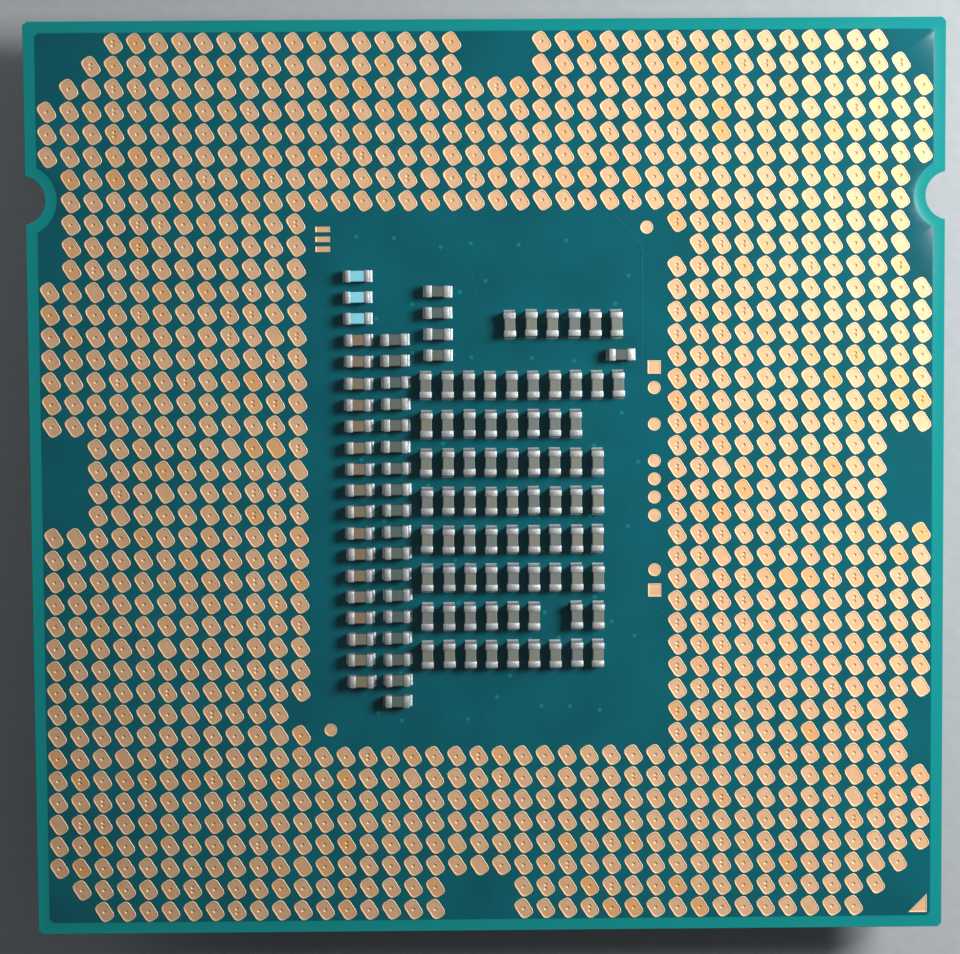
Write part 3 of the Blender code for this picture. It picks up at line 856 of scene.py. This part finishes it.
def package_outline(inset):
    """The package's edge, moved in by the inset: chamfered corners and a half-round notch in each side."""
    half = board_high.x - inset
    notch = (board_high.x + NOTCH_RADIUS - NOTCH_DEPTH, NOTCH_RISE * LAND_PITCH)
    radius = NOTCH_RADIUS + inset
    reach = math.acos((notch[0] - half) / radius)
    right = [(half - CORNER_CHAMFER, -half), (half, -half + CORNER_CHAMFER)]
    right += arc(notch, radius, math.pi + reach, -2 * reach, 24)
    right += [(half, half - CORNER_CHAMFER), (half - CORNER_CHAMFER, half)]
    return mirrored(right)


def circle(centre, radius, steps=32):
    """A round outline."""
    return arc(centre, radius, 0, 4 * QUARTER_TURN, steps)[:-1]


def rectangle(low, high, grow_by):
    """A square-cornered outline round a box in XY."""
    left, right, bottom, top = low.x - grow_by, high.x + grow_by, low.y - grow_by, high.y + grow_by
    return [(left, bottom), (right, bottom), (right, top), (left, top)]


def film_tree():
    """A sheet inside the drawn outlines, open at each of them and at a land's shape on each loose point."""
    tree, given = start_tree("mask_film", Width="Float", Length="Float", Corner="Float", Lean="Float")
    window = moved(tree, land_outline(tree, given), Rotation=upward(tree, given["Lean"]))
    loose = {"Selection": point_number(tree, "window", "INT")}
    windows = on_points(tree, given["Geometry"], window, loose)
    real = add_node(tree, "GeometryNodeRealizeInstances", {"Geometry": windows}).outputs[0]
    drawn = add_node(tree, "GeometryNodeMeshToCurve", {"Mesh": given["Geometry"]}).outputs[0]
    outlines = {"Curve": joined(tree, [real, drawn])}
    sheet = add_node(tree, "GeometryNodeFillCurve", outlines, mode="TRIANGLES").outputs[0]
    end_tree(tree, sheet, given["Material"])
    return tree


def film_plan():
    """The outlines of the film and of its openings at the pads, and a loose point for each land."""
    loops = [package_outline(COPPER_MARGIN)]
    for node in ROUND_PADS:
        first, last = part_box(node)
        middle = (first + last) / 2
        loops.append(circle((middle.x, middle.y), (last.x - first.x) / 2 + MOAT))
    loops += [rectangle(*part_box(node), MOAT) for node in SQUARE_PADS]
    points = [(x, y, 0) for x, y, vias, tint in lands]
    window = [1] * len(points)
    edges = []
    for loop in loops:
        start = len(points)
        points += [(x, y, 0) for x, y in loop]
        edges += [(start + i, start + (i + 1) % len(loop)) for i in range(len(loop))]
        window += [0] * len(loop)
    mesh = bpy.data.meshes.new("mask_film_plan")
    mesh.from_pydata(points, edges, [])
    mesh.attributes.new("window", "INT", "POINT").data.foreach_set("value", window)
    plan = bpy.data.objects.new("land_side_mask_film", mesh)
    bpy.context.scene.collection.objects.link(plan)
    return plan


def add_border(shape, top):
    """The film's stepped border, from the copper's edge to the package's edge, marked as over laminate."""
    bare = shape.verts.layers.float.new("over_laminate")
    border = (
        (COPPER_MARGIN, 0, 0.0),
        (COPPER_MARGIN - STEP_WIDTH, STEP_DEPTH, 1.0),
        (EDGE_ROUNDING, STEP_DEPTH, 1.0),
        (0, STEP_DEPTH + EDGE_ROUNDING, 1.0),
    )
    rings = []
    for inset, drop, share in border:
        rings.append([shape.verts.new((x, y, top - drop)) for x, y in package_outline(inset)])
        for vertex in rings[-1]:
            vertex[bare] = share
    for first, second in zip(rings, rings[1:]):
        bridge(shape, first, second)


def make_mask_film():
    """The pierced sheet over the copper, its stepped border, and its thickness."""
    low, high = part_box("land_side_mask")
    values = {
        "Width": LAND_WIDTH + 2 * MOAT,
        "Length": LAND_LENGTH + 2 * MOAT,
        "Corner": LAND_CORNER + MOAT,
        "Lean": LAND_LEAN,
        "Material": mask,
    }
    film_piece = grow(film_plan(), film_tree(), values)
    shape = bmesh.new()
    shape.from_mesh(film_piece.data)
    bmesh.ops.translate(shape, vec=(0, 0, high.z), verts=shape.verts)
    add_border(shape, high.z)
    bmesh.ops.remove_doubles(shape, verts=shape.verts, dist=WELD)
    lower = bmesh.ops.extrude_face_region(shape, geom=list(shape.faces), use_keep_orig=True)["geom"]
    for item in lower:
        if isinstance(item, bmesh.types.BMVert):
            item.co.z = low.z
    bmesh.ops.recalc_face_normals(shape, faces=shape.faces)
    shape.to_mesh(film_piece.data)
    shape.free()
    finish_piece(film_piece, mask, ["land_side_mask"])


def make_ridges():
    """The mask's faint ridges over the edges of the copper planes."""
    top = board_high.z
    flank = RIDGE_WIDTH / 2
    section = [(flank, top - RIDGE_HEIGHT), (flank, top), (flank / 3, top + RIDGE_HEIGHT)]
    section += [(-out, up) for out, up in reversed(section)]
    for number, route in enumerate(PLANE_EDGES, 1):
        ridge = sweep(f"mask_ridge_{number}", [(x * MM, y * MM) for x, y in route], section)
        finish_piece(ridge, mask)


def plug_tree():
    """Low domes on the points."""
    tree, given = start_tree("mask_plugs", Size="Vector")
    ball = add_node(tree, "GeometryNodeMeshUVSphere", {"Segments": 12, "Rings": 6, "Radius": 0.5}).outputs[0]
    dome = labelled(tree, moved(tree, ball, Scale=given["Size"]), "over_laminate", PLUG_PALENESS)
    end_tree(tree, on_points(tree, given["Geometry"], dome), given["Material"])
    return tree


def make_plugs():
    """Where a filled via lies under the mask, the mask stands up in a low, paler dome."""
    chance = random.Random(70)
    places = []
    for number in range(PLUG_COLUMNS * PLUG_ROWS):
        across = (number % PLUG_COLUMNS + chance.random()) / PLUG_COLUMNS
        up = (number // PLUG_COLUMNS + chance.random()) / PLUG_ROWS
        places.append((OPENING[0] * (2 * across - 1), OPENING[1] * (2 * up - 1)))
    points = points_object("mask_via_plugs", places, board_high.z)
    finish_piece(grow(points, plug_tree(), {"Size": PLUG_SIZE, "Material": mask}))


make_mask_film()
make_ridges()
make_plugs()


# ---- Bare pads and marks
# Round and square test pads, two fiducials, three plain index bars and the pin-one triangles, all of the
# same gilded copper as the lands.

PAD_RIM = 0.9  # the inner edge of a pad's rim as a share of the pad's width
PAD_FLOOR = 0.82


def middle_of(outline):
    """The mean of an outline's points."""
    return sum((Vector(point) for point in outline), Vector((0, 0))) / len(outline)


def pad_from(name, outline, bottom, top):
    """A flat pad between two heights, its top rimmed like a land's. The top may be the lower of the two."""
    sunk = top - math.copysign(RIM_DEPTH, top - bottom)
    middle = middle_of(outline)
    shape = bmesh.new()
    rim = shape.faces.layers.float.new("rim")
    rings = []
    for share, height in ((1, bottom), (1, top), (PAD_RIM, top), (PAD_FLOOR, sunk)):
        places = [middle + (Vector(point) - middle) * share for point in outline]
        rings.append([shape.verts.new((x, y, height)) for x, y in places])
    for marked, first, second in zip((0, 1, 0), rings, rings[1:]):
        for face in bridge(shape, first, second):
            face[rim] = marked
    shape.faces.new(rings[0])
    shape.faces.new(rings[-1])
    bmesh.ops.recalc_face_normals(shape, faces=shape.faces)
    return object_from(name, shape)


def finish_pad(pad, node):
    """Gilds the pad, which takes the place of this node."""
    finish_piece(pad, gold, [node])
    keep_level_faces_flat(pad.data)


def make_pads():
    """Every bare pad and mark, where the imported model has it."""
    for node in ROUND_PADS:
        low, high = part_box(node)
        middle = (low + high) / 2
        pad = pad_from("gilded_" + node, circle((middle.x, middle.y), (high.x - low.x) / 2), low.z, high.z)
        finish_pad(pad, node)
    for node in SQUARE_PADS:
        low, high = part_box(node)
        finish_pad(pad_from("gilded_" + node, rectangle(low, high, 0), low.z, high.z), node)


def make_pin_marks():
    """The right triangles in one corner of each face, their right angle outwards."""
    for node, side in (("pin_one_mark_land_side", 1), ("pin_one_mark_lid_side", -1)):
        low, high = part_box(node)
        outer, inner = (high.x, low.x) if side > 0 else (low.x, high.x)
        corners = [(outer, low.y), (outer, high.y), (inner, low.y)]
        upper, lower = (high.z, low.z) if side > 0 else (low.z, high.z)
        finish_pad(pad_from("gilded_" + node, corners, lower, upper), node)


make_pads()
make_pin_marks()


# ---- Capacitors
# 120 ceramic chips, 1.0 by 0.5 mm, that steady the supply. Each is a block of ceramic with a dipped and
# tinned cap over each end, and a fillet of solder joins the caps to the board.

STRIP_MARGIN = 0.06 * MM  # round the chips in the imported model's lines
CHIP_LENGTH = 1.0 * MM
CHIP_WIDTH = 0.5 * MM
CHIP_HEIGHT = 0.5 * MM
CHIP_LIFT = 0.02 * MM
BODY_INSET = 0.03 * MM
CAP_LENGTH = 0.27 * MM
SHORT_CAP_LENGTH = 0.22 * MM  # on the blue chips
CAP_ROUNDING = 0.04 * MM
FILLET_REACH = 0.1 * MM
FILLET_RISE = 0.3 * MM
FILLET_HALF_WIDTH = 0.23 * MM
MISPLACED = 0.018 * MM
MISTURNED = math.radians(1.3)

# How many chips each line has, whether they lie along X, and their ceramic
LINES = {
    "capacitors_column_1_blue": (3, True, "blue"),
    "capacitors_column_1": (17, True, "tan"),
    "capacitors_column_2": (18, True, "slate"),
    "capacitors_column_3": (4, True, "slate"),
    "capacitor_single": (1, True, "slate"),
    "capacitors_row_1": (6, False, "grey"),
    "capacitors_row_2": (10, False, "grey"),
    "capacitors_row_3": (8, False, "grey"),
    "capacitors_row_4": (9, False, "grey"),
    "capacitors_row_5": (9, False, "grey"),
    "capacitors_row_6": (9, False, "grey"),
    "capacitors_row_7": (9, False, "grey"),
    "capacitors_row_8_left": (6, False, "grey"),
    "capacitors_row_8_right": (2, False, "grey"),
    "capacitors_row_9": (9, False, "grey"),
}
CERAMICS = {
    "grey": ("#626860", "#525C5E", "#6B6A5C"),
    "slate": ("#454F4B", "#404F4D", "#51564B"),
    "tan": ("#6C604E", "#645F52", "#766049"),
    "blue": ("#6FB4C4", "#7ABDCA", "#66AEC0"),
}
CERAMIC_SLOTS = {"slate": "grey"}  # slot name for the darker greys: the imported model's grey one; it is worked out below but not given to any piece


def ceramic(name, plain, cool, warm):
    """Fired titanate ceramic: matt and slightly waxy, with a tint that differs from chip to chip."""
    made, tree, shader, place = start_material(name + "_ceramic", 0.42, ior=1.8)
    tint = add_node(tree, "ShaderNodeAttribute", attribute_name="tint").outputs["Fac"]
    speckle = grain(tree, place, 0.03 * MM, detail=3)
    paint(tree, shader, blend_colours(tree, tint, mottled(tree, speckle, plain, cool), warm))
    roughen(tree, shader, speckle, 0.002 * MM)
    return made


def tinned_cap():
    """Matt tin over nickel: nearly white, with the grain of the plating and a few darker flux stains."""
    made, tree, shader, place = start_material("tinned_cap", 0.6, metallic=1.0)
    grains = grain(tree, place, 0.05 * MM, detail=3)
    stains = grain(tree, place, 0.2 * MM, detail=3)
    plated = mottled(tree, grains, "#C9CACB", "#A1A2A3")
    stained = blend_colours(tree, spread(tree, stains, 0, 0.45), plated, "#888683")
    paint(tree, shader, stained, spread(tree, stains, 0.55, 0.68))
    roughen(tree, shader, grains, 0.012 * MM, 0.8)
    return made


def add_block(shape, centre, size, rounding, steps):
    """Adds a box with rounded edges to the bmesh."""
    made = bmesh.ops.create_cube(shape, size=1)["verts"]
    bmesh.ops.scale(shape, vec=size, verts=made)
    bmesh.ops.translate(shape, vec=centre, verts=made)
    edges = list({edge for vertex in made for edge in vertex.link_edges})
    bmesh.ops.bevel(shape, geom=edges, offset=rounding, segments=steps, profile=0.5, affect="EDGES")


def chip_body(cap):
    """One chip's ceramic block, which runs halfway into each cap of this length."""
    shape = bmesh.new()
    size = (CHIP_LENGTH - cap, CHIP_WIDTH - 2 * BODY_INSET, CHIP_HEIGHT - 2 * BODY_INSET)
    add_block(shape, (0, 0, CHIP_LIFT + CHIP_HEIGHT / 2), size, BODY_INSET, 1)
    return object_from("chip_body", shape)


def chip_ends(cap):
    """One chip's two caps of this length, and their fillets."""
    shape = bmesh.new()
    for side in (-1, 1):
        centre = (side * (CHIP_LENGTH - cap) / 2, 0, CHIP_LIFT + CHIP_HEIGHT / 2)
        add_block(shape, centre, (cap, CHIP_WIDTH, CHIP_HEIGHT), CAP_ROUNDING, 2)
        wall = CHIP_LENGTH / 2 - CAP_ROUNDING
        reach = FILLET_REACH + CAP_ROUNDING
        angles = [QUARTER_TURN * step / 4 for step in range(5)]
        hollow = [(wall + reach * (1 - math.sin(a)), FILLET_RISE * (1 - math.cos(a))) for a in angles]
        rings = []
        for y in (-FILLET_HALF_WIDTH, FILLET_HALF_WIDTH):
            rings.append([shape.verts.new((side * x, y, z)) for x, z in [(wall, 0), *hollow]])
        bridge(shape, *rings)
        shape.faces.new(rings[0])
        shape.faces.new(rings[1])
    bmesh.ops.recalc_face_normals(shape, faces=shape.faces)
    return object_from("chip_ends", shape)


def chip_places(node):
    """The (x, y) of each chip in a line, between the ends of its CAD strip."""
    count, along_x, _ = LINES[node]
    low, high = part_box(node)
    middle = (low + high) / 2
    inset = STRIP_MARGIN + CHIP_WIDTH / 2
    if along_x:
        step = (high.y - low.y - 2 * inset) / max(count - 1, 1)
        return [(middle.x, high.y - inset - step * i) for i in range(count)]
    step = (high.x - low.x - 2 * inset) / max(count - 1, 1)
    return [(low.x + inset + step * i, middle.y) for i in range(count)]


def chip_tree():
    """The given shape on every point, turned by the point's own angle."""
    tree, given = start_tree("chip_rows", Shape="Object")
    shape = add_node(tree, "GeometryNodeObjectInfo", {"Object": given["Shape"]}).outputs["Geometry"]
    turning = {"Rotation": upward(tree, point_number(tree, "turn"))}
    end_tree(tree, on_points(tree, given["Geometry"], shape, turning), given["Material"])
    return tree


def make_capacitors():
    """For each ceramic, a piece with the bodies and a piece with the tinned ends."""
    tree, tinned = chip_tree(), tinned_cap()
    chance = random.Random(120)
    for name, colours in CERAMICS.items():
        nodes = [node for node, (_, _, kind) in LINES.items() if kind == name]
        places, turns, tints = [], [], []
        for node in nodes:
            for x, y in chip_places(node):
                places.append((x + chance.uniform(-1, 1) * MISPLACED, y + chance.uniform(-1, 1) * MISPLACED))
                turns.append((0 if LINES[node][1] else QUARTER_TURN) + chance.uniform(-1, 1) * MISTURNED)
                tints.append(chance.random())
        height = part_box(nodes[0])[0].z
        cap = SHORT_CAP_LENGTH if name == "blue" else CAP_LENGTH
        body, ends = chip_body(cap), chip_ends(cap)
        for part, shape, finish, slot in (
            ("bodies", body, ceramic(name, *colours), CERAMIC_SLOTS.get(name, name) + "_ceramic"),
            ("ends", ends, tinned, "solder"),
        ):
            points = points_object(f"capacitor_{part}_{name}", places, height, turn=turns, tint=tints)
            piece = grow(points, tree, {"Shape": shape, "Material": finish})
            finish_piece(piece, replaced=nodes if part == "bodies" else ())
        for shape in (body, ends):
            bpy.data.objects.remove(shape, do_unlink=True)


make_capacitors()


# ---- The table it is shown on
# A plain pale sheet under a dim sky, with a soft key lamp high on the right and a weak fill lamp behind the
# left corner, seen from above with a long lens.

FLOOR_SIZE = 0.6
FLOOR_GAP = 0.02 * MM
KEY_LAMP = ((63 * MM, 23 * MM, 58 * MM), 30 * MM, 0.15)  # place, size, watts
FILL_LAMP = ((-80 * MM, 100 * MM, 40 * MM), 60 * MM, 0.05)
CAMERA_PLACE = (-1.49 * MM, 7.18 * MM, 110.26 * MM)
CAMERA_TURN = (-3.807, -0.656, -0.371)  # degrees
LENS = 96.94  # millimetres, on a 36 mm sensor
SKY_STRENGTH = 0.16


def make_stage():
    """Floor, lamps, sky and camera."""
    shape = bmesh.new()
    bmesh.ops.create_grid(shape, x_segments=1, y_segments=1, size=FLOOR_SIZE / 2)
    bmesh.ops.translate(shape, vec=(0, 0, -FLOOR_GAP), verts=shape.verts)
    floor = object_from("floor", shape)
    paper, tree, shader, place = start_material("pale_paper", 0.8, ior=1.5)
    fibres = grain(tree, place, 0.5 * MM, detail=4)
    paint(tree, shader, mottled(tree, fibres, "#8D8F91", "#929496"))
    floor.data.materials.append(paper)

    for name, (place, size, power) in {"key_lamp": KEY_LAMP, "fill_lamp": FILL_LAMP}.items():
        lamp = bpy.data.objects.new(name, bpy.data.lights.new(name, "AREA"))
        lamp.data.size = size
        lamp.data.energy = power
        lamp.data.color = (0.95, 0.99, 1.0)
        lamp.location = place
        lamp.rotation_euler = (-Vector(place)).to_track_quat("-Z", "Y").to_euler()
        bpy.context.scene.collection.objects.link(lamp)

    sky = bpy.data.worlds.new("sky")
    sky.use_nodes = True
    background = sky.node_tree.nodes["Background"]
    background.inputs["Color"].default_value = linear("#E2EAF0")
    background.inputs["Strength"].default_value = SKY_STRENGTH
    bpy.context.scene.world = sky
    bpy.context.scene.view_settings.view_transform = "Standard"

    camera = bpy.data.objects.new("camera", bpy.data.cameras.new("camera"))
    camera.data.lens = LENS
    camera.data.clip_start = MM
    camera.location = CAMERA_PLACE
    camera.rotation_euler = [math.radians(angle) for angle in CAMERA_TURN]
    bpy.context.scene.collection.objects.link(camera)
    bpy.context.scene.camera = camera


make_stage()
